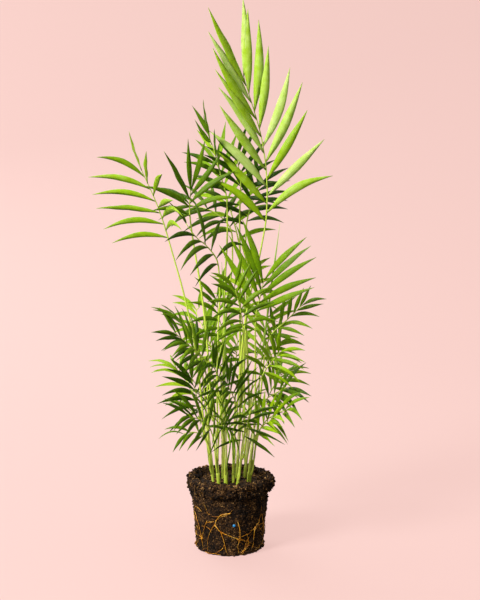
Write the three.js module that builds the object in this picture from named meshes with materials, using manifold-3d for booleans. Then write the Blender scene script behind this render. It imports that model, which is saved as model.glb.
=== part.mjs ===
// A clump of parlour palm seedlings standing on the root ball that its pot has moulded.
// Millimetres, +Z up. The origin is the centre of the root ball's flat underside, and the
// clump's showiest side faces -Y. Each plant is a short cane with its fronds around it; a frond
// is one solid, from the foot of its stalk to the points of its leaflets.
import * as THREE from "three";
import { mergeVertices } from "three/addons/utils/BufferGeometryUtils.js";
import Module from "manifold-3d";

// Root ball
const ballFootRadius = 43;
const ballWaistRadius = 49;
const collarRadius = 56;
const ballHeight = 96;
const collarHeight = 20;
const rimWidth = 9;
const soilSink = 8;
const ballUnevenness = 0.6;
const ballFacets = 48;

// Clump
const standHeight = 518;
const standReach = 108;
const caneRadius = 2.9;
const caneSunk = 22;
const stalkRadius = 1.1;
const stalkSwell = 0.0022;
const stalkTipRadius = 0.7;
const leafletLengthShare = 1;
const leafletBreadth = 3.5;
const leafletWidthShare = 0.088;
const leafletThickness = 0.9;
const spreadFall = 1.3;
const beadRadius = 1.9;
const rootRadius = 1.1;

// Room kept between neighbours, and around what stands in a socket
const fitGap = 0.3;
const airGap = 0.4;
const footGap = 0.45;

// Joints between solids are cleared of slivers thinner than this
const sliver = 0.03;

// The height and reach at which the lists below were laid out
const drawnHeight = 518;
const drawnReach = 108;

const UP = new THREE.Vector3(0, 0, 1);
const soilLevel = ballHeight - soilSink;
const waistHeight = ballHeight - collarHeight;

// Canes: foot [x, y], top [x, y], height above the soil, thickness as a share of caneRadius
const canes = {
  a: { foot: [-21, -8], top: [-31, -11], height: 82, girth: 0.85 },
  b: { foot: [-14, -16], top: [-21, -19], height: 106, girth: 1.05 },
  c: { foot: [-5, -15], top: [-6, -17], height: 108, girth: 1.15 },
  d: { foot: [4, -9], top: [7, -11], height: 118, girth: 0.95 },
  e: { foot: [10, -17], top: [21, -23], height: 86, girth: 0.95 },
  f: { foot: [25, -5], top: [34, -5], height: 98, girth: 1.2 },
  g: { foot: [-9, 6], top: [-11, 10], height: 126, girth: 0.95 },
  h: { foot: [9, 9], top: [14, 13], height: 126, girth: 0.95 },
  i: { foot: [-22, 10], top: [-31, 15], height: 86, girth: 0.9 },
  j: { foot: [19, 14], top: [28, 21], height: 106, girth: 0.95 },
};

// Fronds, the showiest first: plant, where the stalk leaves the cane above the soil; the
// blade's heel, middle and tip [x, y, above the soil]; pairs of leaflets and their length, or
// [length, how much longer at the tip]; the spread of the leaflets from the midrib [at the heel,
// at the tip, how it falls between them] and their lift out of the blade, in degrees; their
// droop [at the heel, at the tip]; and the way the blade faces, in degrees from +X
const fronds = [
  ["d", 102, [46, 2, 336], [43, 0, 427], [17, -6, 518], 9, [100, 1.18], [50, 14], 12, [0.25, -0.8], -85],
  ["h", 112, [13, 18, 356], [14, 14, 388], [9, 8, 417], 6, 56, [84, 24], 15, [0.5, 0], -95],
  ["a", 62, [-77, -6, 317], [-90, -16, 360], [-108, -28, 403], 6, 76, [76, 12, 0.5], 28, [0.22, 0.3], -130],
  ["b", 92, [-50, -4, 344], [-50, -4, 362], [-48, -6, 378], 4, 72, [74, 8], 20, [0.5, 0], -70],
  ["g", 112, [-3, 0, 364], [-13, -6, 404], [-25, -10, 449], 6, 50, [62, 12], 20, [0.35, 0.1], -140],
  ["b", 72, [-14, -22, 286], [-28, -28, 309], [-46, -40, 325], 5, 62, [82, 22], 12, [0.8, 0.5], -60],
  ["f", 82, [33, -28, 221], [38, -30, 244], [43, -30, 267], 5, 88, [54, 30], 12, [0.1, 0], -95],
  ["f", 62, [50, -10, 190], [71, -14, 212], [91, -18, 233], 6, 38, [60, 20], 10, [0.4, 0.2], -60],
  ["c", 92, [-9, 6, 187], [-14, 6, 214], [-17, 4, 239], 6, 52, [85, 20], 10, [0.6, 0.3], -80],
  ["a", 42, [-33, -14, 160], [-49, -20, 180], [-67, -28, 198], 6, 50, [66, 20], 10, [0.45, 0.2], -60],
  ["i", 22, [-40, 0, 91], [-43, -6, 115], [-49, -12, 138], 7, 58, [82, 16], 15, [0.55, 0.2], -80],
  ["g", 102, [3, 26, 321], [-20, 30, 346], [-51, 30, 355], 6, 55, [75, 25], 12, [0.7, 0.4], -75],
  ["h", 102, [21, 30, 328], [28, 34, 356], [39, 36, 382], 6, 50, [75, 30], 12, [0.5, 0.3], -80],
  ["e", 72, [17, -44, 206], [13, -52, 235], [6, -56, 263], 6, 48, [80, 26], 12, [0.6, 0.3], -80],
  ["c", 62, [-26, -38, 160], [-42, -50, 182], [-56, -60, 194], 6, 46, [80, 24], 12, [0.6, 0.3], -60],
  ["e", 42, [41, -34, 146], [53, -44, 166], [63, -52, 180], 5, 44, [80, 26], 12, [0.6, 0.3], -60],
  ["f", 32, [44, -14, 108], [58, -20, 120], [72, -26, 129], 5, 46, [84, 28], 12, [0.6, 0.3], -80],
  ["f", 17, [41, -20, 78], [57, -34, 96], [71, -46, 104], 5, 46, [64, 24], 12, [0.8, 0.5], -60],
  ["e", 14, [17, -34, 63], [22, -48, 84], [24, -64, 103], 4, 50, [92, 50], 10, [0.35, 0.2], -80],
  ["c", 22, [-10, -34, 78], [-19, -52, 95], [-28, -68, 106], 4, 50, [85, 30], 10, [0.8, 0.5], -70],
  ["a", 20, [-34, -16, 63], [-47, -22, 70], [-59, -28, 69], 3, 36, [56, 18], 5, [0.8, 0.5], -70],
  ["a", 70, [-42, -8, 184], [-53, -12, 203], [-65, -16, 216], 5, 44, [70, 20], 12, [0.4, 0.2], -160],
  ["d", 42, [10, -42, 104], [4, -58, 126], [-3, -74, 144], 7, 50, [80, 26], 12, [0.7, 0.4], -75],
  ["d", 20, [3, -40, 66], [0, -58, 82], [-6, -74, 90], 6, 52, [84, 34], 12, [0.7, 0.4], -80],
  ["b", 24, [-24, -32, 76], [-38, -44, 92], [-50, -54, 98], 5, 50, [62, 24], 12, [0.5, 0.3], -65],
  ["f", 26, [32, -30, 66], [44, -46, 86], [54, -60, 98], 5, 46, [54, 22], 12, [0.3, 0.2], -95],
  ["b", 40, [-8, -40, 128], [-14, -56, 150], [-20, -70, 166], 6, 48, [82, 26], 12, [0.6, 0.3], -85],
  ["j", 92, [11, 50, 308], [-5, 66, 364], [-18, 80, 415], 7, 60, [70, 20], 12, [0.5, 0.2], 90],
  ["j", 62, [34, 48, 150], [44, 66, 180], [52, 80, 206], 6, 54, [74, 24], 12, [0.5, 0.2], 70],
  ["i", 60, [-24, 42, 160], [-36, 60, 190], [-46, 72, 212], 6, 52, [74, 24], 12, [0.6, 0.3], 110],
  ["g", 62, [-13, 20, 147], [-23, 28, 169], [-34, 34, 187], 7, 50, [80, 26], 12, [0.6, 0.3], 120],
  ["h", 52, [42, 36, 136], [55, 50, 156], [66, 62, 172], 6, 48, [80, 26], 12, [0.6, 0.3], 60],
  ["j", 32, [45, 44, 90], [58, 64, 110], [70, 80, 124], 6, 48, [80, 26], 12, [0.7, 0.4], 50],
  ["i", 42, [-45, 44, 98], [-59, 62, 120], [-73, 78, 132], 6, 48, [80, 26], 12, [0.7, 0.4], 130],
  ["g", 42, [3, 50, 120], [8, 76, 146], [10, 94, 168], 6, 50, [80, 26], 12, [0.7, 0.4], 90],
  ["j", 14, [16, 46, 58], [21, 70, 71], [27, 92, 79], 5, 46, [84, 26], 12, [0.9, 0.5], 90],
  ["i", 14, [-32, 40, 59], [-48, 58, 74], [-62, 74, 81], 5, 42, [84, 26], 12, [0.9, 0.5], 120],
  ["h", 82, [22, 54, 206], [24, 74, 238], [28, 90, 264], 6, 52, [80, 26], 12, [0.6, 0.3], 90],
];

// New fronds still rolled up: plant, where they leave the cane, middle and tip
const spears = [
  ["f", 88, [44, -14, 190], [63, -16, 336]],
  ["c", 100, [-6, -10, 190], [-10, -2, 286]],
];

// Roots that show on the ball, strand by strand: [turn from the front in degrees, height]
const roots = {
  front: [
    [[2, 59], [-11, 57], [-19, 51], [-24, 42], [-32, 32], [-39, 17], [-40, 4]],
    [[-24, 42], [-15, 34], [4, 27], [16, 23], [34, 16], [27, 8], [17, 4]],
    [[11, 50], [16, 36], [16, 23], [13, 13], [16, 4]],
    [[-15, 34], [-10, 23], [-6, 9], [-4, 4]],
  ],
  front_left: [
    [[-71, 50], [-59, 36], [-52, 17], [-50, 4]],
    [[-36, 47], [-45, 33], [-52, 17]],
  ],
  front_right: [[[49, 40], [43, 30], [43, 18], [39, 5]]],
  right: [
    [[58, 52], [64, 38], [70, 26], [72, 8]],
    [[64, 38], [80, 30], [92, 16]],
  ],
  back_right: [
    [[132, 60], [122, 42], [124, 22], [116, 5]],
    [[122, 42], [108, 30], [104, 8]],
  ],
  back: [
    [[176, 52], [166, 36], [170, 20], [160, 5]],
    [[166, 36], [152, 26], [146, 8]],
    [[170, 20], [182, 12], [190, 5]],
  ],
  back_left: [
    [[-150, 62], [-142, 44], [-130, 26], [-124, 6]],
    [[-142, 44], [-154, 30], [-156, 10]],
  ],
  left: [[[-104, 56], [-96, 40], [-102, 24], [-94, 6]]],
};

const look = (colour, roughness) => new THREE.MeshStandardMaterial({ color: colour, roughness, metalness: 0 });
const materials = {
  soil: look(0x2b2019, 0.95),
  root: look(0xb5853a, 0.6),
  bead: look(0x3f7fae, 0.4),
  cane: look(0xb9bf6a, 0.5),
  frond: look(0x4f8a1c, 0.45),
};

const wasm = await Module();
wasm.setup();

const rise = standHeight / drawnHeight;
const reach = standReach / drawnReach;

/** Puts a drawn point, given above the soil, at its place in the clump. */
function place([x, y, above]) {
  return new THREE.Vector3(x * reach, y * reach, soilLevel + above * rise);
}

/** A small repeatable irregularity from -1 to 1 for each whole number. */
function whim(seed) {
  const wave = Math.sin(seed * 12.9898) * 43758.5453;
  return (wave - Math.floor(wave)) * 2 - 1;
}

/** Turns a closed geometry into a solid that can be joined, cut and measured. */
function solidOf(geometry) {
  geometry.deleteAttribute("normal");
  geometry.deleteAttribute("uv");
  const merged = mergeVertices(geometry, 1e-4);
  return new wasm.Manifold(new wasm.Mesh({
    numProp: 3,
    vertProperties: Float32Array.from(merged.getAttribute("position").array),
    triVerts: Uint32Array.from(merged.getIndex().array),
  }));
}

/** Turns a solid back into the geometry of a mesh. */
function geometryOf(solid) {
  const mesh = solid.getMesh();
  const geometry = new THREE.BufferGeometry();
  geometry.setAttribute("position", new THREE.BufferAttribute(mesh.vertProperties, mesh.numProp));
  geometry.setIndex(new THREE.BufferAttribute(mesh.triVerts, 1));
  geometry.computeVertexNormals();
  return geometry;
}

/**
 * Bends an upright shape of height 1, centred on its axis, onto a curve: its height runs along
 * the curve, its X stays as near as it can to `across`, and `share` gives its size at each step.
 */
function bend(geometry, curve, across, share = () => [1, 1]) {
  const position = geometry.getAttribute("position");
  for (let i = 0; i < position.count; i++) {
    const t = position.getY(i) + 0.5;
    const [wide, thick] = share(t);
    const along = curve.getTangent(t);
    const x = across.clone().addScaledVector(along, -across.dot(along)).normalize();
    const z = new THREE.Vector3().crossVectors(x, along);
    const point = curve.getPoint(t)
      .addScaledVector(x, position.getX(i) * wide)
      .addScaledVector(z, position.getZ(i) * thick);
    position.setXYZ(i, point.x, point.y, point.z);
  }
  return geometry;
}

/** A tapered rod along a curve, with one of its flats towards `across`. */
function rod(curve, footRadius, tipRadius, sides, steps, across = new THREE.Vector3(1, 0.2, 0)) {
  const shape = new THREE.CylinderGeometry(tipRadius, footRadius, 1, sides, steps);
  shape.rotateY(Math.PI / sides);
  return solidOf(bend(shape, curve, across));
}

// What stands already, so that the next piece can be laid clear of it
const standing = [];

// The solid of each cane, by its plant
const caneSolids = {};

/** Notes a solid as standing. */
function stand(solid) {
  standing.push({ solid, box: solid.boundingBox() });
  return solid;
}

/** Whether a solid keeps the air gap to all that stands. */
function clears(solid) {
  const { min, max } = solid.boundingBox();
  return standing.every(({ solid: other, box }) => {
    const far = [0, 1, 2].some((k) => box.min[k] > max[k] + airGap || box.max[k] < min[k] - airGap);
    return far || solid.minGap(other, airGap) > airGap * 0.99;
  });
}

/** How far the pot's wall stood from the axis at a height. */
function wallRadius(height) {
  return ballFootRadius + (ballWaistRadius - ballFootRadius) * height / waistHeight;
}

/** How far the root ball's side stands from its axis. */
function ballRadius(turn, height) {
  return wallRadius(height) + ballUnevenness * bumps(turn, height);
}

/** The unevenness of the root ball's side, from -1 to 1. */
function bumps(turn, height) {
  return (Math.sin(3 * turn + height / 45) + Math.sin(7 * turn - height / 35)) / 2;
}

/** The root ball: tapered like its pot, with a collar over the pot's rim and a sunken top. */
function makeBall() {
  const inner = collarRadius - rimWidth;
  const outline = [
    [0, 0],
    [ballFootRadius - 3, 0],
    ...[0.04, 0.28, 0.52, 0.76, 1].map((share) => [wallRadius(share * waistHeight), share * waistHeight]),
    [collarRadius - 1, waistHeight + collarHeight * 0.25],
    [collarRadius, waistHeight + collarHeight * 0.5],
    [collarRadius - 1, ballHeight - 3],
    [collarRadius - rimWidth * 0.4, ballHeight],
    [inner, ballHeight - soilSink * 0.3],
    [inner - 3, soilLevel],
    [0, soilLevel],
  ];
  const shape = new THREE.LatheGeometry(outline.map(([r, z]) => new THREE.Vector2(r, z)), ballFacets);
  shape.rotateX(Math.PI / 2);
  const position = shape.getAttribute("position");
  for (let i = 0; i < position.count; i++) {
    const [x, y, z] = [position.getX(i), position.getY(i), position.getZ(i)];
    const radius = Math.hypot(x, y);
    if (radius < 1) continue;
    const grown = 1 + ballUnevenness * bumps(Math.atan2(y, x), z) / radius;
    position.setXY(i, x * grown, y * grown);
  }
  return solidOf(shape);
}

/** The line of a cane, from its sunken foot to its top. */
function caneLine({ foot, top, height }) {
  const base = place([...foot, 0]);
  const head = place([...top, height]);
  const sunk = base.clone().sub(head).setLength(caneSunk).add(base);
  return { base, head, curve: new THREE.LineCurve3(sunk, head) };
}

/** Where a stalk leaves its cane: so far from its axis, turned from the side it heads for. */
function leave(cane, height, aim, turn, room) {
  const { base, head } = caneLine(cane);
  const point = base.clone().lerp(head, height / cane.height);
  const out = new THREE.Vector3(aim.x - point.x, aim.y - point.y, 0).setLength(room);
  return point.add(out.applyAxisAngle(UP, THREE.MathUtils.degToRad(turn)));
}

// Ways to lay a stalk, tried in order: how far the blade shifts along Y, turn of the foot
// around the cane, sway of the stalk's middle
const stalkLays = [[0, 0, 0]];
for (const shift of [0, 5, -5, 10, -10]) {
  for (const turn of [20, 40, 60, 80]) {
    for (const sway of [0, 5, -5, 10, -10]) stalkLays.push([shift, turn, sway], [shift, -turn, sway]);
  }
}

/** A stalk and midrib from a start on its cane, through a knee, to its blade. */
function makeStalk(start, points, sway, thickness, across) {
  const side = new THREE.Vector3(start.y - points[0].y, points[0].x - start.x, 0).normalize();
  const knee = start.clone().lerp(points[0], 0.3).addScaledVector(side, sway);
  knee.z = (start.z + points[0].z) / 2;
  const curve = new THREE.CatmullRomCurve3([start, knee, ...points]);
  return { curve, solid: rod(curve, thickness, stalkTipRadius, 4, 10, across) };
}

/** The first lay of a stalk that keeps clear, with its foot drawn in to its cane. */
function layStalk(letter, height, drawn, across) {
  const cane = canes[letter];
  const thickness = stalkRadius + stalkSwell * (drawn[0].z - soilLevel - height);
  for (const [shift, turn, sway] of stalkLays) {
    const points = drawn.map((point) => point.clone().add(new THREE.Vector3(0, shift, 0)));
    const seat = (room) => makeStalk(leave(cane, height, points[0], turn, room), points, sway, thickness, across);
    const room = caneRadius * cane.girth + thickness + footGap;
    const loose = seat(room).solid.minGap(caneSolids[letter], room) - footGap;
    const stalk = seat(room - loose);
    if (clears(stalk.solid)) return stalk;
  }
  throw new Error("a stalk found no room");
}

// Ways to lay a leaflet, tried in order: turn, lift, share of its length
const leafletLays = [1, 0.8, 0.6].flatMap((share) => [
  [0, 0, share], [0, 10, share], [0, -10, share], [9, 5, share], [-9, 5, share],
  [0, 22, share], [0, -22, share], [14, 16, share], [-14, 16, share],
]);

/** One leaflet, from inside the midrib to its point: a slim pyramid, ridged along the top. */
function makeLeaflet({ base, along, normal, side, length, turn, lift, droop }) {
  const sideways = new THREE.Vector3().crossVectors(along, normal).multiplyScalar(side);
  const out = sideways.multiplyScalar(Math.cos(lift)).addScaledVector(normal, Math.sin(lift));
  const first = along.clone().multiplyScalar(Math.cos(turn)).addScaledVector(out, Math.sin(turn)).normalize();
  const last = first.clone().addScaledVector(UP, -droop).normalize();
  const knee = base.clone().addScaledVector(first, length / 2);
  const point = knee.clone().addScaledVector(last, length / 2);
  const curve = new THREE.QuadraticBezierCurve3(base, knee, point);
  const halfWidth = (leafletBreadth + length * leafletWidthShare) / 2;
  const foot = [stalkTipRadius * 0.6, stalkTipRadius * 0.6];
  const blank = new THREE.CylinderGeometry(0, 1, 1, 3, 2);
  const share = (t) => (t < 0.25 ? foot : [4 / Math.sqrt(3) * halfWidth, 4 / 3 * leafletThickness]);
  return solidOf(bend(blank, curve, along.clone().multiplyScalar(-side), share));
}

/** The way that a frond's blade faces, tilted up. */
function facingOf(row) {
  const azimuth = THREE.MathUtils.degToRad(row.at(-1));
  return new THREE.Vector3(Math.cos(azimuth), Math.sin(azimuth), 0.8);
}

/** A frond: its stalk joined to every leaflet that found room, nearest the heel first. */
function makeFrond({ curve, solid }, row, seed) {
  const [, , , , , pairs, drawnLength, spread, lift, droop] = row;
  const [midLength, tipGain = 1] = [drawnLength].flat();
  const [heelSpread, tipSpread, fall = spreadFall] = spread;
  const { degToRad, lerp } = THREE.MathUtils;
  const facing = facingOf(row);
  const count = 2 * pairs;
  let frond = solid;
  for (let i = 0; i < count; i++) {
    const t = 0.98 * i / (count - 1);
    const onCurve = 0.5 + 0.5 * t;
    const along = curve.getTangent(onCurve);
    const normal = facing.clone().addScaledVector(along, -facing.dot(along)).normalize();
    const quirk = (k) => whim(seed * 31.7 + i * 7.3 + k * 1.9);
    const length = midLength * leafletLengthShare
      * (0.8 + 0.24 * Math.sin(Math.PI * (0.15 + 0.75 * t))) * lerp(1, tipGain, t * t) * (1 + 0.06 * quirk(0));
    for (const [turn, raise, share] of leafletLays) {
      const leaflet = makeLeaflet({
        base: curve.getPoint(onCurve),
        along,
        normal,
        side: i % 2 ? 1 : -1,
        length: length * share,
        turn: degToRad(lerp(tipSpread, heelSpread, (1 - t) ** fall) + 4 * quirk(1) + turn),
        lift: degToRad(lift + 6 * quirk(2) + raise),
        droop: lerp(droop[0], droop[1], t) * (1 + 0.25 * quirk(3)),
      });
      if (!clears(leaflet)) continue;
      frond = frond.add(leaflet);
      break;
    }
  }
  return frond.simplify(sliver);
}

/** A route laid on the ball's side: drawn flat in turn and height, then wrapped around it. */
class WrappedRoute extends THREE.Curve {
  constructor(route) {
    super();
    this.flat = new THREE.CatmullRomCurve3(route.map(([turn, height]) => new THREE.Vector3(turn, height, 0)));
  }

  getPoint(t, target = new THREE.Vector3()) {
    const { x: turn, y: height } = this.flat.getPoint(t);
    const angle = THREE.MathUtils.degToRad(turn - 90);
    const radius = ballRadius(angle, height) + rootRadius + fitGap;
    return target.set(radius * Math.cos(angle), radius * Math.sin(angle), height);
  }
}

/** The strands of one root network, grown together. */
function makeRoots(strands) {
  return strands
    .map((route) => rod(new WrappedRoute(route), rootRadius, rootRadius * 0.6, 5, 2 * route.length))
    .reduce((whole, strand) => whole.add(strand))
    .simplify(sliver);
}

const clump = new THREE.Group();

/** Adds a solid to the clump as a named mesh. */
function addPiece(name, solid, material) {
  const mesh = new THREE.Mesh(geometryOf(solid), material);
  mesh.name = name;
  clump.add(mesh);
}

// The ball, with a socket for each cane and a pocket for the fertiliser bead
let ball = makeBall();
for (const cane of Object.values(canes)) {
  const { base, head } = caneLine(cane);
  const along = head.clone().sub(base).normalize();
  const socket = new THREE.LineCurve3(
    base.clone().addScaledVector(along, -caneSunk - fitGap),
    base.clone().addScaledVector(along, soilSink),
  );
  const radius = (caneRadius * cane.girth + fitGap) / Math.cos(Math.PI / 8);
  ball = ball.subtract(rod(socket, radius, radius, 8, 1));
}
const beadTurn = THREE.MathUtils.degToRad(-83);
const beadHeight = 42;
const beadAt = (geometry) => {
  const radius = ballRadius(beadTurn, beadHeight);
  return geometry.translate(radius * Math.cos(beadTurn), radius * Math.sin(beadTurn), beadHeight);
};
ball = ball.subtract(solidOf(beadAt(new THREE.SphereGeometry(beadRadius + fitGap, 10, 6))));
addPiece("root_ball", stand(ball), materials.soil);
addPiece("fertiliser_bead", solidOf(beadAt(new THREE.SphereGeometry(beadRadius, 10, 6))), materials.bead);

for (const [name, strands] of Object.entries(roots)) {
  addPiece(`root_${name}`, stand(makeRoots(strands)), materials.root);
}

for (const [letter, cane] of Object.entries(canes)) {
  const radius = caneRadius * cane.girth;
  caneSolids[letter] = stand(rod(caneLine(cane).curve, radius, radius * 0.5, 8, 4));
  addPiece(`palm_${letter}_cane`, caneSolids[letter], materials.cane);
}

for (const [letter, height, middle, tip] of spears) {
  const { solid } = layStalk(letter, height, [place(middle), place(tip)]);
  addPiece(`palm_${letter}_spear`, stand(solid), materials.cane);
}

// Every stalk stands before the first leaflet opens
const stalks = fronds.map((row) => {
  const [letter, height, heel, middle, tip] = row;
  const along = place(tip).sub(place(heel));
  const stalk = layStalk(letter, height, [heel, middle, tip].map(place), along.cross(facingOf(row)));
  stand(stalk.solid);
  return stalk;
});

const grown = {};
fronds.forEach((row, index) => {
  const [letter] = row;
  const own = standing.findIndex(({ solid }) => solid === stalks[index].solid);
  standing.splice(own, 1);
  const frond = stand(makeFrond(stalks[index], row, index + 1));
  grown[letter] = (grown[letter] ?? 0) + 1;
  addPiece(`palm_${letter}_frond_${grown[letter]}`, frond, materials.frond);
});

export default clump;
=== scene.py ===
"""Dresses a packed clump of young parlour palms that stands on its bare root ball.

Everything is in metres, in the part's own frame: +Z up, the showiest side towards -Y, and the
origin at the middle of the ball's underside. Each frond, cane, spear, root network, the soil and
the bead is one piece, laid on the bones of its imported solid.
"""

import logging
import math
import random
from dataclasses import dataclass, field
from enum import Enum
from functools import lru_cache
from typing import Callable

import bmesh
import bpy
import numpy as np
from mathutils import Matrix, Vector, noise
from mathutils.geometry import intersect_point_line


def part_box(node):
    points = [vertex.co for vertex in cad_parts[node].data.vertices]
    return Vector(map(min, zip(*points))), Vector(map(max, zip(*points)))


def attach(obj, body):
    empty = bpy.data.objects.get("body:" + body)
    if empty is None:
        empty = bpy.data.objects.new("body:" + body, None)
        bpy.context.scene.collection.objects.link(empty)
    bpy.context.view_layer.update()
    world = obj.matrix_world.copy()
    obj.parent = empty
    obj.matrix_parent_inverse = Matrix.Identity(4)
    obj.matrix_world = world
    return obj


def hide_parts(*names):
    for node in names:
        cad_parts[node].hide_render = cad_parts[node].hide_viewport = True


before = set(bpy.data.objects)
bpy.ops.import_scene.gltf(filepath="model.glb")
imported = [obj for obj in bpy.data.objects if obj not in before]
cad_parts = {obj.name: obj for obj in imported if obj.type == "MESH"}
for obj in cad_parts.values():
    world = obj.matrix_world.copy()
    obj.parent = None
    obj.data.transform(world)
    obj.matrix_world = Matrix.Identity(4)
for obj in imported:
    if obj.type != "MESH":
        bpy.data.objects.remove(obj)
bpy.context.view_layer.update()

log = logging.getLogger("parlour_palm")

MM = 0.001
BODY = "root"


# ---------------------------------------------------------------- finishes


def linear(hex_colour: str) -> tuple[float, float, float, float]:
    """Turns an sRGB hex colour into linear light.

    Args:
        hex_colour: Six hex digits after a #.

    Returns:
        Red, green, blue and an alpha of 1.
    """
    shares = [int(hex_colour[i:i + 2], 16) / 255 for i in (1, 3, 5)]
    low = 0.04045
    red, green, blue = (c / 12.92 if c <= low else ((c + 0.055) / 1.055) ** 2.4 for c in shares)
    return red, green, blue, 1.0


def add_node(tree: bpy.types.NodeTree, kind: str, settings: dict | None = None,
             links: dict | None = None) -> bpy.types.Node:
    """Adds a shader node with its settings and what feeds it.

    Args:
        tree: The material's node tree.
        kind: The node's type name.
        settings: Values for its properties, or for its sockets by name or number. "stops" holds
            a ramp's places from 0 to 1, each with its hex colour.
        links: The output that feeds each socket, by the socket's name or number.

    Returns:
        The new node.
    """
    node = tree.nodes.new(kind)
    for name, value in (settings or {}).items():
        if name == "stops":
            elements = node.color_ramp.elements
            while len(elements) < len(value):
                elements.new(0.5)
            for element, (place, colour) in zip(elements, value):
                element.position = place
                element.color = linear(colour)
        elif isinstance(name, str) and hasattr(node, name):
            setattr(node, name, value)
        else:
            node.inputs[name].default_value = value
    for name, output in (links or {}).items():
        tree.links.new(output, node.inputs[name])
    return node


@dataclass(frozen=True)
class Finish:
    """What every finish shares: a name, its gloss and how far light wanders inside it."""

    name: str
    roughness: float
    ior: float = 1.45
    subsurface: float = 0.0
    coat: float = 0.0
    specular: float = 0.5

    def colour(self, tree: bpy.types.NodeTree) -> bpy.types.NodeSocket | None:
        """Builds the colour and returns its output, or None if the shader's sockets hold it."""
        raise NotImplementedError

    def bump(self, tree: bpy.types.NodeTree) -> bpy.types.NodeSocket | None:
        """Builds the fine relief and returns its normal, or None for a smooth finish."""
        return None

    def make(self) -> bpy.types.Material:
        """Builds the material.

        Returns:
            The material, ready to be given to a mesh.
        """
        material = bpy.data.materials.new(self.name)
        material.use_nodes = True
        tree = material.node_tree
        shader = tree.nodes["Principled BSDF"]
        shader.inputs["Roughness"].default_value = self.roughness
        shader.inputs["IOR"].default_value = self.ior
        shader.inputs["Subsurface Weight"].default_value = self.subsurface
        shader.inputs["Subsurface Radius"].default_value = (0.6, 1.0, 0.25)
        shader.inputs["Subsurface Scale"].default_value = 1.2 * MM
        shader.inputs["Specular IOR Level"].default_value = self.specular
        shader.inputs["Coat Weight"].default_value = self.coat
        shader.inputs["Coat Roughness"].default_value = 0.25
        colour = self.colour(tree)
        if colour:
            tree.links.new(colour, shader.inputs["Base Color"])
        normal = self.bump(tree)
        if normal:
            tree.links.new(normal, shader.inputs["Normal"])
        return material

    def clouds(self, tree: bpy.types.NodeTree, size: float, stretch: float = 1.0,
               detail: float = 2.0) -> bpy.types.NodeSocket:
        """Builds a cloudy pattern that lies still in the part.

        Args:
            tree: The material's node tree.
            size: How wide a cloud is, in metres.
            stretch: How many times longer a cloud is up Z than across.
            detail: How many finer layers it has.

        Returns:
            The pattern, from 0 to 1.
        """
        place = add_node(tree, "ShaderNodeTexCoord")
        scale = (1 / size, 1 / size, 1 / size / stretch)
        mapping = add_node(tree, "ShaderNodeMapping", {"Scale": scale},
                           {"Vector": place.outputs["Object"]})
        cloud = add_node(tree, "ShaderNodeTexNoise", {"Scale": 1.0, "Detail": detail},
                         {"Vector": mapping.outputs["Vector"]})
        return cloud.outputs["Fac"]


@dataclass(frozen=True)
class LeafBlade(Finish):
    """Living palm leaflet under its waxy cuticle.

    Parallel nerves run from foot to point, so the gloss breaks into long streaks, and the green
    runs from the yellow of new growth to the near black of old leaves; its palest end is partly
    a painted sheen.
    """

    stops: tuple[tuple[float, str], ...] = ()
    nerve_spacing: float = 1.3 * MM
    blade_width: float = 10 * MM
    relief: float = 0.25 * MM
    cloud_width: float = 9 * MM
    cloud_depth: float = 0.22
    streak_depth: float = 0.045

    def _across(self, tree: bpy.types.NodeTree) -> bpy.types.NodeSocket:
        """Returns how far across the blade a point lies, from 0 to 1."""
        layout = add_node(tree, "ShaderNodeUVMap", {"uv_map": "UVMap"})
        split = add_node(tree, "ShaderNodeSeparateXYZ", links={"Vector": layout.outputs["UV"]})
        return split.outputs["Y"]

    def _nerves(self, tree: bpy.types.NodeTree) -> bpy.types.NodeSocket:
        """Returns the nerves as a wave from -1 to 1 across the blade."""
        turns = 2 * math.pi * self.blade_width / self.nerve_spacing
        phase = add_node(tree, "ShaderNodeMath", {"operation": "MULTIPLY", 1: turns},
                         {0: self._across(tree)})
        wave = add_node(tree, "ShaderNodeMath", {"operation": "COSINE"}, {0: phase.outputs[0]})
        return wave.outputs[0]

    def colour(self, tree: bpy.types.NodeTree) -> bpy.types.NodeSocket:
        """Builds the green from the leaf's own freshness, its clouds and its nerves; the palest
        freshness is partly a painted sheen.
        """
        fresh = add_node(tree, "ShaderNodeAttribute", {"attribute_name": "freshness"})
        cloud = self.clouds(tree, self.cloud_width)
        centred = {"operation": "MULTIPLY_ADD", 1: self.cloud_depth, 2: -self.cloud_depth / 2}
        shifted = add_node(tree, "ShaderNodeMath", centred, {0: cloud})
        mixed = add_node(tree, "ShaderNodeMath", {"operation": "ADD"},
                         {0: fresh.outputs["Fac"], 1: shifted.outputs[0]})
        streak = add_node(tree, "ShaderNodeMath",
                          {"operation": "MULTIPLY_ADD", 1: self.streak_depth},
                          {0: self._nerves(tree), 2: mixed.outputs[0]})
        ramp = add_node(tree, "ShaderNodeValToRGB", {"stops": self.stops},
                        {"Fac": streak.outputs[0]})
        return ramp.outputs["Color"]

    def bump(self, tree: bpy.types.NodeTree) -> bpy.types.NodeSocket:
        """Raises the nerves a little."""
        node = add_node(tree, "ShaderNodeBump", {"Strength": 0.5, "Distance": self.relief},
                        {"Height": self._nerves(tree)})
        return node.outputs["Normal"]


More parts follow.
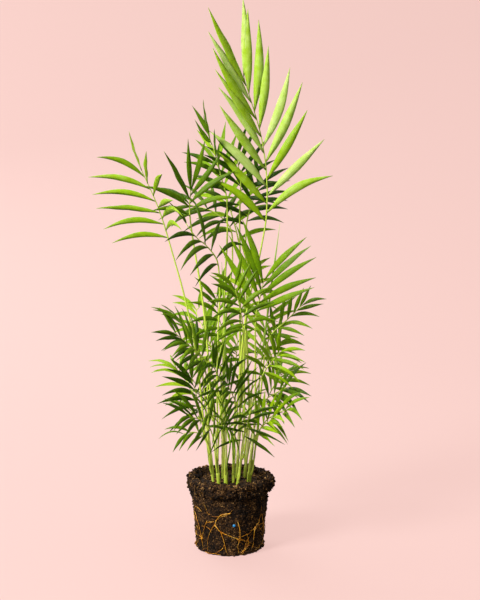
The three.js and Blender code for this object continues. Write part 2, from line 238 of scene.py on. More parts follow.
@dataclass(frozen=True)
class Stem(Finish):
    """Living stalk or cane: smooth, juicy tissue with fine fibres along it."""

    stops: tuple[tuple[float, str], ...] = ()
    foot_height: float = 0.0
    top_height: float = 0.5
    fibre_width: float = 0.9 * MM
    streak_depth: float = 0.5
    relief: float = 0.2 * MM

    def colour(self, tree: bpy.types.NodeTree) -> bpy.types.NodeSocket:
        """Builds a colour that changes up the stem, streaked along its fibres."""
        place = add_node(tree, "ShaderNodeTexCoord")
        split = add_node(tree, "ShaderNodeSeparateXYZ", links={"Vector": place.outputs["Object"]})
        height = add_node(tree, "ShaderNodeMapRange",
                          {"From Min": self.foot_height, "From Max": self.top_height},
                          {"Value": split.outputs["Z"]})
        streak = self.clouds(tree, self.fibre_width * 2, stretch=14)
        centred = {"operation": "MULTIPLY_ADD", 1: self.streak_depth, 2: -self.streak_depth / 2}
        shifted = add_node(tree, "ShaderNodeMath", centred, {0: streak})
        total = add_node(tree, "ShaderNodeMath", {"operation": "ADD"},
                         {0: height.outputs["Result"], 1: shifted.outputs[0]})
        ramp = add_node(tree, "ShaderNodeValToRGB", {"stops": self.stops},
                        {"Fac": total.outputs[0]})
        return ramp.outputs["Color"]

    def bump(self, tree: bpy.types.NodeTree) -> bpy.types.NodeSocket:
        """Raises the fibres."""
        node = add_node(tree, "ShaderNodeBump", {"Strength": 0.35, "Distance": self.relief},
                        {"Height": self.clouds(tree, self.fibre_width, stretch=16)})
        return node.outputs["Normal"]


@dataclass(frozen=True)
class Speckled(Finish):
    """A grainy natural surface: clods, root bark or a resin coat, cloudy at two scales."""

    stops: tuple[tuple[float, str], ...] = ()
    fleck: float = 1.6 * MM
    patch: float = 14 * MM
    relief: float = 0.6 * MM
    patchiness: float = 0.5

    def colour(self, tree: bpy.types.NodeTree) -> bpy.types.NodeSocket:
        """Mixes fine flecks with broad patches, and lifts a crumb by its own tone."""
        fine = self.clouds(tree, self.fleck, detail=3)
        broad = self.clouds(tree, self.patch)
        total = add_node(tree, "ShaderNodeMath", {"operation": "MULTIPLY_ADD", 1: self.patchiness},
                         {0: broad, 2: fine})
        centred = add_node(tree, "ShaderNodeMath",
                           {"operation": "SUBTRACT", 1: self.patchiness / 2}, {0: total.outputs[0]})
        tone = add_node(tree, "ShaderNodeAttribute", {"attribute_name": "tone"})
        lifted = add_node(tree, "ShaderNodeMath", {"operation": "ADD"},
                          {0: centred.outputs[0], 1: tone.outputs["Fac"]})
        ramp = add_node(tree, "ShaderNodeValToRGB", {"stops": self.stops},
                        {"Fac": lifted.outputs[0]})
        return ramp.outputs["Color"]

    def bump(self, tree: bpy.types.NodeTree) -> bpy.types.NodeSocket:
        """Raises the grain."""
        node = add_node(tree, "ShaderNodeBump", {"Strength": 0.7, "Distance": self.relief},
                        {"Height": self.clouds(tree, self.fleck * 0.6, detail=4)})
        return node.outputs["Normal"]


@dataclass(frozen=True)
class Paint(Finish):
    """Matt studio paint, lit from within so that floor and wall come out the same tone."""

    tone: str = "#ffffff"
    glow: str = "#ffffff"

    def colour(self, tree: bpy.types.NodeTree) -> None:
        """Sets the tone and the glow on the shader's own sockets."""
        shader = tree.nodes["Principled BSDF"]
        shader.inputs["Base Color"].default_value = linear(self.tone)
        shader.inputs["Emission Color"].default_value = linear(self.glow)
        shader.inputs["Emission Strength"].default_value = 1.0


# The upper side: waxy cuticle over dense green tissue gives a soft, streaky gloss; its palest stops
# are partly a painted sheen on the top frond
UPPER_SIDE = LeafBlade(
    "waxy_leaf_upper_side", roughness=0.36, specular=0.18, subsurface=0.15, coat=0.05,
    stops=((0.0, "#1c3001"), (0.25, "#375202"), (0.5, "#628203"), (0.75, "#92b409"),
           (1.0, "#d2e392")))
# The lower side: no wax and more air in the tissue gives a paler, duller green
LOWER_SIDE = LeafBlade(
    "pale_leaf_lower_side", roughness=0.5, specular=0.18, subsurface=0.18, relief=0.35 * MM,
    stops=((0.0, "#334e04"), (0.25, "#507006"), (0.5, "#789a0a"), (0.75, "#a6c420"),
           (1.0, "#d4e88c")))
# Stalks: watery tissue lets light in, so they glow yellow-green against the leaves
STALK = Stem(
    "juicy_leaf_stalk", roughness=0.34, specular=0.25, subsurface=0.25, top_height=0.6,
    stops=((0.0, "#b3c244"), (0.35, "#bccb4a"), (0.7, "#b6cc48"), (1.0, "#9cb838")))
# Canes: overlapping leaf sheaths, green where light reaches them; the pale cream band a little
# above the soil is partly bleached sheath and partly a painted highlight
CANE = Stem(
    "leaf_sheath_cane", roughness=0.4, specular=0.3, subsurface=0.2, foot_height=0.085,
    top_height=0.22, stops=((0.0, "#9cae2c"), (0.22, "#bcc657"), (0.45, "#e6e29a"),
                            (0.6, "#d0d26c"), (0.8, "#b4c04a"), (1.0, "#93a52c")))
# New leaves: still rolled, hard and shiny
NEW_LEAF = Stem(
    "rolled_new_leaf", roughness=0.33, subsurface=0.25, foot_height=0.28, top_height=0.43,
    stops=((0.0, "#9cbb3d"), (0.5, "#86a92b"), (1.0, "#9fc04a")))
# Soil: damp peat and bark crumbs, nearly black where wet, with rusty fibre
SOIL = Speckled(
    "damp_peat_soil", roughness=0.92, specular=0.2,
    stops=((0.36, "#080401"), (0.48, "#1b1006"), (0.58, "#38230f"), (0.68, "#664622"),
           (0.82, "#b59159")))
# Roots: young bark with a waxy skin, golden where it is new
ROOT = Speckled(
    "golden_root_skin", roughness=0.45, specular=0.3, subsurface=0.1, fleck=2.5 * MM,
    relief=0.2 * MM,
    stops=((0.3, "#8a4c08"), (0.45, "#bd7712"), (0.58, "#dc9a26"), (0.72, "#f2c264")))
# Fibres: dry peat and bark threads, rusty and dull
FIBRE = Speckled(
    "dry_bark_fibre", roughness=0.8, specular=0.2, fleck=1.2 * MM, relief=0.1 * MM,
    stops=((0.3, "#3a2208"), (0.5, "#74480f"), (0.7, "#b38436")))
# Bead: fertiliser grain in dyed resin, smooth and a little glossy
BEAD = Speckled(
    "dyed_resin_bead", roughness=0.3, coat=0.3, fleck=0.8 * MM, relief=0.05 * MM,
    stops=((0.3, "#0a5c94"), (0.6, "#1888c8"), (0.8, "#3ea8e0")))
# Studio sweep: matt blush paint, with no gloss to show the lamps
SWEEP = Paint("blush_studio_paint", roughness=0.9, tone="#5c504d", glow="#e2bbb4")


@lru_cache(maxsize=None)
def skin(finish: Finish) -> bpy.types.Material:
    """Makes a finish's material the first time, and returns the same one after that."""
    return finish.make()


# ---------------------------------------------------------------- modelling helpers


def deselect() -> None:
    """Leaves nothing selected."""
    for selected in list(bpy.context.selected_objects):
        selected.select_set(False)
    bpy.context.view_layer.objects.active = None


def take(piece: bpy.types.Object) -> None:
    """Makes a piece the only one selected, and the active one."""
    deselect()
    piece.select_set(True)
    bpy.context.view_layer.objects.active = piece


def apply_modifier(piece: bpy.types.Object, kind: str, **settings: object) -> None:
    """Adds a modifier to a piece and applies it.

    Args:
        piece: The mesh to change.
        kind: The modifier's type name.
        **settings: Values for its properties.
    """
    take(piece)
    modifier = piece.modifiers.new(kind.lower(), kind)
    for name, value in settings.items():
        setattr(modifier, name, value)
    bpy.ops.object.modifier_apply(modifier=modifier.name)


def select_vertices(piece: bpy.types.Object, chosen: Callable[[Vector], bool]) -> None:
    """In edit mode, selects the vertices whose place passes a test.

    Args:
        piece: The mesh in edit mode.
        chosen: A function that takes a place and says whether it is chosen.
    """
    mesh = bmesh.from_edit_mesh(piece.data)
    bpy.ops.mesh.select_all(action="DESELECT")
    for vertex in mesh.verts:
        vertex.select = bool(chosen(vertex.co))
    mesh.select_flush_mode()
    bmesh.update_edit_mesh(piece.data)


def weld(piece: bpy.types.Object, threshold: float = 1e-6, inward: bool | None = None) -> None:
    """Merges a mesh's doubled points.

    Args:
        piece: The mesh.
        threshold: How near two points are to be one, in metres.
        inward: Whether its faces then turn inwards or outwards. None leaves them as they are.
    """
    take(piece)
    bpy.ops.object.mode_set(mode="EDIT")
    bpy.ops.mesh.select_all(action="SELECT")
    bpy.ops.mesh.remove_doubles(threshold=threshold)
    if inward is not None:
        bpy.ops.mesh.normals_make_consistent(inside=inward)
    bpy.ops.object.mode_set(mode="OBJECT")


def copy_of(source: bpy.types.Object) -> bpy.types.Object:
    """Returns a copy of an object, in the scene and with its own mesh."""
    copy = source.copy()
    copy.data = source.data.copy()
    bpy.context.scene.collection.objects.link(copy)
    return copy


def copy_of_solid(node: str, finish: Finish) -> bpy.types.Object:
    """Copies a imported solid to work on.

    Args:
        node: The solid's name.
        finish: What the copy is made of.

    Returns:
        The copy, with its loose triangles joined up.
    """
    copy = copy_of(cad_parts[node])
    copy.parent = None
    copy.hide_render = False
    copy.data.materials.clear()
    copy.data.materials.append(skin(finish))
    weld(copy)
    return copy


def sweep_tube(name: str, line: list[Vector], radii: list[float], finish: Finish,
               sides: int = 8) -> bpy.types.Object:
    """Sweeps a round tube along a line, closed at both ends.

    Args:
        name: The new object's name.
        line: The points that the middle passes, in metres.
        radii: The tube's radius at each point.
        finish: What it is made of.
        sides: How many sides the tube has: 4, 6 or 8.

    Returns:
        The tube, as a mesh.
    """
    deselect()
    bpy.ops.curve.primitive_bezier_curve_add(location=(0, 0, 0))
    tube = bpy.context.object
    tube.name = name
    shape = tube.data
    spline = shape.splines[0]
    spline.bezier_points.add(len(line) - 2)
    for point, place, radius in zip(spline.bezier_points, line, radii):
        point.co = place
        point.radius = radius
        point.handle_left_type = "AUTO"
        point.handle_right_type = "AUTO"
    shape.dimensions = "3D"
    shape.bevel_depth = 1.0
    shape.bevel_resolution = sides // 2 - 2
    shape.resolution_u = 4
    shape.use_fill_caps = True
    take(tube)
    bpy.ops.object.convert(target="MESH")
    weld(tube, inward=False)
    bpy.ops.object.shade_smooth()
    tube.data.materials.append(skin(finish))
    return tube


def join(name: str, pieces: list[bpy.types.Object]) -> bpy.types.Object:
    """Joins meshes into one named piece.

    Args:
        name: The joined piece's name.
        pieces: The meshes, of which the first gives its place.

    Returns:
        The joined piece.
    """
    take(pieces[0])
    for piece in pieces:
        piece.select_set(True)
    if len(pieces) > 1:
        bpy.ops.object.join()
    whole = bpy.context.object
    whole.name = name
    whole.data.name = name
    return whole


def dress(piece: bpy.types.Object, slot: str, *nodes: str) -> None:
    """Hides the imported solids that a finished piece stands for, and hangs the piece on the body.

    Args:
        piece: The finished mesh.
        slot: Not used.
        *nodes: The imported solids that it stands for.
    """
    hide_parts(*nodes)
    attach(piece, BODY)
    log.info("%s: %d faces", piece.name, len(piece.data.polygons))


def paint_attribute(piece: bpy.types.Object, name: str, values: np.ndarray | float) -> None:
    """Gives each vertex a value that a material reads.

    Args:
        piece: The mesh.
        name: The attribute's name.
        values: One value for each vertex, or one for all.
    """
    attribute = piece.data.attributes.get(name) or piece.data.attributes.new(name, "FLOAT", "POINT")
    full = np.broadcast_to(np.asarray(values, np.float32), (len(piece.data.vertices),))
    attribute.data.foreach_set("value", np.ascontiguousarray(full))


def vertex_places(piece: bpy.types.Object) -> np.ndarray:
    """Returns the places of a mesh's vertices, one to a row."""
    places = np.empty(len(piece.data.vertices) * 3)
    piece.data.vertices.foreach_get("co", places)
    return places.reshape(-1, 3)


def nearest_on(line: list[Vector], place: Vector) -> Vector:
    """Finds the place on a line that is nearest to another place.

    Args:
        line: The points that the line joins.
        place: The other place.

    Returns:
        The nearest place on the line.
    """
    best = line[0]
    for one, other in zip(line, line[1:]):
        share = intersect_point_line(place, one, other)[1]
        spot = one.lerp(other, min(max(share, 0.0), 1.0))
        if (spot - place).length < (best - place).length:
            best = spot
    return best


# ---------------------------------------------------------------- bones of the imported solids


class NodeMesh:
    """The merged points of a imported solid, and which of them are joined by an edge."""

    def __init__(self, node: str) -> None:
        """Merges a copy of the node's loose triangles and reads it."""
        copy = copy_of(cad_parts[node])
        copy.parent = None
        weld(copy)
        self.points = [vertex.co.copy() for vertex in copy.data.vertices]
        self.near: list[set[int]] = [set() for _ in self.points]
        for edge in copy.data.edges:
            a, b = edge.vertices
            self.near[a].add(b)
            self.near[b].add(a)
        bpy.data.objects.remove(copy)

    def middle(self, chosen: set[int] | list[int]) -> Vector:
        """Returns the middle of some of the points."""
        return sum((self.points[i] for i in chosen), Vector()) / len(chosen)

    def rings(self, lowest: list[int], sides: int, stop: set[int]) -> list[set[int]]:
        """Walks along a rod, ring by ring.

        Args:
            lowest: The rod's points from the lowest up.
            sides: How many points a whole ring has.
            stop: Points that end the walk when a ring touches them.

        Returns:
            The whole rings, from the lowest on.
        """
        foot = set(lowest[:sides + 1])
        hubs = [i for i in foot if foot - {i} <= self.near[i]]
        start = foot - {hubs[0]} if hubs else set(lowest[:sides])
        walk = [start]
        seen = foot if hubs else set(start)
        while True:
            following = set().union(*(self.near[i] for i in walk[-1])) - seen
            if len(following) != sides or following & stop:
                return walk
            walk.append(following)
            seen |= following

    def rise(self, foot: Vector, heel: Vector, skip: set[int]) -> tuple[list[Vector], list[float]]:
        """Follows a rising stalk by cutting it level at even heights.

        Args:
            foot: The middle of its lowest end.
            heel: Where its blade starts.
            skip: Points that aren't the stalk's.

        Returns:
            The middles of the cuts, from the foot on, and the stalk's radius at each.
        """
        edges = [(i, j) for i in range(len(self.points)) if i not in skip
                 for j in self.near[i] if j > i and j not in skip]
        cuts = 9
        stalk_width = 4.5 * MM
        line = [foot]
        radii: list[float] = []
        for cut in range(1, cuts):
            share = cut / cuts
            height = foot.z + (heel.z - foot.z) * share
            ahead = line[-1] + (heel - line[-1]) / (cuts - cut + 1)
            met = []
            for i, j in edges:
                low, high = self.points[i], self.points[j]
                if (low.z - height) * (high.z - height) < 0:
                    met.append(low.lerp(high, (height - low.z) / (high.z - low.z)))
            met.sort(key=lambda place: (place - ahead).length)
            if not met:
                continue
            close = [place for place in met if (place - met[0]).length < stalk_width]
            centre = sum(close, Vector()) / len(close)
            slope = (centre - line[-1]).normalized().z
            line.append(centre)
            radii.append(sum((place - centre).length for place in close) / len(close) * slope)
        return line, [radii[0]] + radii


@dataclass
class LeafletBones:
    """Where one leaflet runs and which way it faces."""

    base: Vector
    middle: Vector
    point: Vector
    across: Vector
    up: Vector
    width: float

    def place(self, t: float) -> Vector:
        """Returns the place on the leaflet's arch, from 0 at its base to 1 at its point."""
        knee = 2 * self.middle - (self.base + self.point) / 2
        return (1 - t) ** 2 * self.base + 2 * t * (1 - t) * knee + t * t * self.point

    def heading(self, t: float) -> Vector:
        """Returns the way the arch heads at a place on it."""
        knee = 2 * self.middle - (self.base + self.point) / 2
        return ((1 - t) * (knee - self.base) + t * (self.point - knee)).normalized()


@dataclass
class FrondBones:
    """The stalk's line, its thickness and the leaflets of one packed frond."""

    line: list[Vector]
    radii: list[float]
    leaflets: list[LeafletBones]

    @classmethod
    def read(cls, node: str) -> "FrondBones":
        """Reads a frond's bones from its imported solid.

        A leaflet there is a spindle: a point, a three-sided ring around its middle and its roots
        on the midrib. So a vertex whose three neighbours are all joined is a leaflet's point.

        Args:
            node: The solid's name.

        Returns:
            The bones, with the leaflets in order from the heel.
        """
        mesh = NodeMesh(node)
        widest = 18 * MM
        root_reach = 1.4
        leaflets = []
        taken: set[int] = set()
        for tip, ring in enumerate(mesh.near):
            if len(ring) != 3 or not all(ring - {i} <= mesh.near[i] for i in ring):
                continue
            ridge, (one, other) = cls._ridge(mesh, ring)
            edge = mesh.points[one] - mesh.points[other]
            if edge.length > widest or (mesh.points[tip] - mesh.middle(ring)).length < edge.length:
                continue
            roots = set().union(*(mesh.near[i] for i in ring)) - ring - {tip}
            centre = mesh.middle(ring)
            reach = root_reach * (mesh.points[tip] - centre).length
            roots = {i for i in roots if (mesh.points[i] - centre).length < reach}
            if not roots:
                continue
            leaflets.append(LeafletBones(
                mesh.middle(roots), centre, mesh.points[tip], edge.normalized(),
                (mesh.points[ridge] - (mesh.points[one] + mesh.points[other]) / 2).normalized(),
                edge.length))
            taken |= ring | {tip}
        rest = set(range(len(mesh.points))) - taken
        foot = mesh.middle(sorted(rest, key=lambda i: mesh.points[i].z)[:4])
        ordered = [min(leaflets, key=lambda leaflet: (leaflet.base - foot).length)]
        left = [leaflet for leaflet in leaflets if leaflet is not ordered[0]]
        while left:
            following = min(left, key=lambda leaflet: (leaflet.base - ordered[-1].base).length)
            ordered.append(following)
            left.remove(following)
        line, radii = mesh.rise(foot, ordered[0].base, taken)
        line += [(one.base + other.base) / 2 for one, other in zip(ordered, ordered[1:])]
        line.append(ordered[-1].base)
        for leaflet in ordered:
            leaflet.base = nearest_on(line, leaflet.base)
        return cls(line, radii, ordered)

    @staticmethod
    def _ridge(mesh: NodeMesh, ring: set[int]) -> tuple[int, tuple[int, int]]:
        """Returns a ring's ridge point and the two ends of its longest side."""
        def facing_side(i: int) -> float:
            one, other = ring - {i}
            return (mesh.points[one] - mesh.points[other]).length
        ridge = max(ring, key=facing_side)
        one, other = ring - {ridge}
        return ridge, (one, other)


def read_rod(node: str, sides: int) -> tuple[list[Vector], list[float]]:
    """Reads a packed rod from its lowest ring up.

    Args:
        node: The rod's name.
        sides: How many sides it has.

    Returns:
        The middles of its rings and their radii.
    """
    mesh = NodeMesh(node)
    order = sorted(range(len(mesh.points)), key=lambda i: mesh.points[i].z)
    walk = mesh.rings(order, sides, set())
    line = [mesh.middle(ring) for ring in walk]
    radii = [sum((mesh.points[i] - p).length for i in ring) / sides for ring, p in zip(walk, line)]
    return line, radii


# ---------------------------------------------------------------- the clump


class Freshness(Enum):
    """How new a frond is, from the near black of old leaves to pale new growth; the palest value is
    partly a painted sheen.
    """

    # Pale new growth, lifted further to paint a sheen on the top frond
    PALE = 0.79
    YOUNG = 0.69
    FRESH = 0.66
    GROWN = 0.5
    DEEP = 0.34
    OLD = 0.18


# Fronds whose age stands out from the rest; the top frond's pale value is partly a painted sheen
FROND_AGES = {
    "palm_d_frond_1": Freshness.PALE,
    "palm_a_frond_1": Freshness.YOUNG,
    "palm_f_frond_1": Freshness.GROWN,
    "palm_f_frond_2": Freshness.GROWN,
    "palm_b_frond_1": Freshness.GROWN,
    "palm_g_frond_1": Freshness.DEEP,
    "palm_h_frond_1": Freshness.OLD,
    "palm_b_frond_2": Freshness.DEEP,
    "palm_g_frond_2": Freshness.DEEP,
    "palm_h_frond_2": Freshness.OLD,
}


@dataclass
class LeafletBlank:
    """One leaflet modelled flat, which every frond copies and bends: 1 long and 1 wide."""

    segments: int = 10
    strips: int = 4
    fold: float = 0.1
    thickness: float = 0.03
    outline: tuple[tuple[float, float], ...] = (
        (0.0, 0.12), (0.1, 0.38), (0.2, 0.68), (0.3, 0.88), (0.4, 0.98), (0.5, 1.0),
        (0.6, 0.9), (0.7, 0.72), (0.8, 0.5), (0.9, 0.26), (1.0, 0.02))

    def build(self) -> bpy.types.Object:
        """Models the blank: a grid drawn in to the outline, folded along its midrib and closed.

        Returns:
            The blank, which is taken away once every frond has copied it.
        """
        deselect()
        bpy.ops.mesh.primitive_grid_add(
            x_subdivisions=self.segments, y_subdivisions=self.strips, size=1,
            location=(0.5, 0, 0))
        blank = bpy.context.object
        bpy.ops.object.transform_apply(location=True)
        bpy.ops.object.mode_set(mode="EDIT")
        near = 0.01
        for place, width in self.outline:
            select_vertices(blank, lambda co, place=place: abs(co.x - place) < near)
            bpy.ops.transform.resize(value=(1, width, 1), center_override=(place, 0, 0))
        select_vertices(blank, lambda co: abs(co.y) < near * 0.5 and co.x < 0.97)
        bpy.ops.transform.translate(value=(0, 0, self.fold))
        bpy.ops.object.mode_set(mode="OBJECT")
        blank.data.materials.append(skin(UPPER_SIDE))
        blank.data.materials.append(skin(LOWER_SIDE))
        apply_modifier(blank, "SOLIDIFY", thickness=self.thickness, offset=-1,
                       material_offset=1, material_offset_rim=1)
        bpy.ops.object.shade_smooth()
        return blank


@dataclass
class Frond:
    """One pinnate frond: a stalk with a clasping foot, and leaflets bent from the blank."""

    node: str
    blank: bpy.types.Object
    blank_places: np.ndarray
    cane: tuple[Vector, Vector]
    draw: random.Random
    age_spread: float = 0.09
    widen: float = 0.74
    broad: float = 0.88
    widest: float = 12.5 * MM
    stoutness: float = 0.17
    bulge: float = 0.04
    arch: float = 0.07
    sag: float = 0.05
    ripples: float = 2.5
    clasp: float = 9 * MM
    clasp_inset: float = 0.45
    clasp_swell: float = 1.25
    stalk_share: float = 1.02
    tip_radius: float = 0.5 * MM
    bones: FrondBones = field(init=False)

    def build(self) -> bpy.types.Object:
        """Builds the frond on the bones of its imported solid.

        Returns:
            The finished piece.
        """
        self.bones = FrondBones.read(self.node)
        age = FROND_AGES.get(self.node, self._usual_age())
        if age is Freshness.PALE:
            self.widen = self.broad
        pieces = [self._stalk()]
        for leaflet in self.bones.leaflets:
            shift = self.draw.uniform(-self.age_spread, self.age_spread)
            pieces.append(self._leaflet(leaflet, age.value + shift))
        frond = join(self.node + "_leaf", pieces)
        dress(frond, "palm_leaf", self.node)
        return frond

    def _usual_age(self) -> Freshness:
        """Draws an age for a frond that doesn't stand out."""
        usual = [Freshness.DEEP, Freshness.GROWN, Freshness.GROWN, Freshness.FRESH]
        return self.draw.choice(usual)

    def _stalk(self) -> bpy.types.Object:
        """Sweeps the stalk and midrib, from a foot that clasps the cane to the last leaflet."""
        line = list(self.bones.line)
        thin = [radius * self.stalk_share for radius in self.bones.radii]
        blade = len(line) - len(thin)
        start = thin[-1]
        thin += [start + (self.tip_radius - start) * (i + 1) / blade for i in range(blade)]
        low, high = self.cane
        along = (high - low).normalized()
        foot = line[0]
        on_axis = low + along * (foot - low).dot(along)
        under = on_axis - along * self.clasp + (foot - on_axis) * self.clasp_inset
        line = [under] + line
        thin = [thin[0] * self.clasp_swell] + thin
        stalk = sweep_tube(self.node + "_stalk", line, thin, STALK, 6)
        # Every mesh of the joined frond carries the attribute
        paint_attribute(stalk, "freshness", Freshness.GROWN.value)
        return stalk

    def _leaflet(self, bones: LeafletBones, fresh: float) -> bpy.types.Object:
        """Copies the blank and bends it along one leaflet's arch.

        Args:
            bones: The leaflet's bones.
            fresh: How new it is, from 0 to 1; near the top it is partly a painted sheen.

        Returns:
            The bent copy.
        """
        leaflet = copy_of(self.blank)
        length = (bones.point - bones.base).length
        width = min(bones.width * self.widen, self.widest, self.stoutness * length)
        twist = self.draw.uniform(-0.35, 0.35)
        curl = self.draw.uniform(0.05, 0.35)
        wave = self.draw.uniform(0.0, 0.05)
        phase = self.draw.uniform(0, 2 * math.pi)
        sway = self.draw.uniform(-0.03, 0.03) * length
        level = 1 - abs((bones.point - bones.base).normalized().z)
        bulge = self.bulge * length * self.draw.uniform(0.5, 1.4)
        arch = self.arch * length * level * self.draw.uniform(0.4, 1.6)
        sag = self.sag * length * level * self.draw.uniform(0.4, 1.5)
        right_handed = bones.heading(0.5).cross(bones.across).dot(bones.up) > 0
        edge = bones.across if right_handed else -bones.across
        bent = np.empty_like(self.blank_places)
        for i, (x, y, z) in enumerate(self.blank_places.tolist()):
            x = min(max(x, 0.0), 1.0)
            along = bones.heading(x)
            side = (edge - along * edge.dot(along)).normalized()
            side = Matrix.Rotation(twist * x, 3, along) @ side
            up = along.cross(side)
            ripple = wave * math.sin(2 * math.pi * self.ripples * x + phase)
            lift = z - curl * abs(y) + ripple * abs(y) * 4
            hump = math.sin(math.pi * x)
            place = bones.place(x) + side * (y * width + sway * hump) + up * (lift * width)
            place += up * (bulge * hump)
            place.z += arch * hump - sag * x * x
            bent[i] = place
        leaflet.data.vertices.foreach_set("co", bent.ravel())
        paint_attribute(leaflet, "freshness", fresh)
        return leaflet


@dataclass
class Cane:
    """One seedling's cane: leaf sheaths stacked like drawn-out cups."""

    node: str
    draw: random.Random
    sheath: float = 17 * MM
    flare: float = 0.16
    taper: float = 0.3
    lean: float = 0.6 * MM
    profile: tuple[tuple[float, float], ...] = ((0.0, 0.0), (0.5, 0.3), (0.93, 1.0))

    def build(self) -> bpy.types.Object:
        """Builds the cane with a step at the mouth of each sheath.

        Returns:
            The finished piece.
        """
        line, radii = read_rod(self.node, 8)
        low, high = line[0], line[-1]
        length = (high - low).length
        along = (high - low) / length
        count = max(int(length / self.sheath), 3)
        places, widths = [], []
        lean = Vector((self.draw.uniform(-1, 1), self.draw.uniform(-1, 1), 0)) * self.lean
        for i in range(count):
            for share, swell in self.profile:
                t = (i + share) / count
                places.append(low + along * (length * t) + lean * math.sin(math.pi * t))
                radius = radii[0] + (radii[-1] - radii[0]) * t
                widths.append(radius * (0.93 + self.flare * swell) * (1 - self.taper * t))
        places.append(high)
        widths.append(radii[-1] * 0.7)
        cane = sweep_tube(self.node + "_sheaths", places, widths, CANE)
        dress(cane, "cane_sheath", self.node)
        return cane


@dataclass
class Spear:
    """A new leaf still rolled up: a stalk that swells into a slim spindle."""

    node: str
    girth: float = 0.8
    taper: float = 0.45
    roll: float = 0.9 * MM
    roll_start: float = 0.5
    roll_length: float = 0.52
    tip_radius: float = 0.15 * MM

    def build(self) -> bpy.types.Object:
        """Builds the stalk and the spindle in one sweep.

        Returns:
            The finished piece.
        """
        line, radii = read_rod(self.node, 4)
        widths = []
        for i, radius in enumerate(radii):
            t = i / (len(radii) - 1)
            share = min(max((t - self.roll_start) / self.roll_length, 0.0), 1.0)
            rolled = max(0.0, math.sin(math.pi * share))
            widths.append(radius * self.girth * (1 - self.taper * t) + self.roll * rolled)
        widths[-1] = self.tip_radius
        spear = sweep_tube(self.node + "_rolled", line, widths, NEW_LEAF)
        dress(spear, "rolled_new_leaf", self.node)
        return spear


@dataclass(frozen=True)
class WornBand:
    """A level band of the ball's wall that swells or sinks, by its own measure on each side."""

    above_waist: float
    spread: float
    left: float
    right: float

    def swell(self, out: Vector, above: float) -> float:
        """Finds how far the band moves the wall outwards.

        Args:
            out: The way outwards.
            above: The height above the waist.

        Returns:
            The move, in metres.
        """
        across = max(-out.x, 0.0) ** 2 * self.left + max(out.x, 0.0) ** 3 * self.right
        return across * math.exp(-((above - self.above_waist) / self.spread) ** 2)


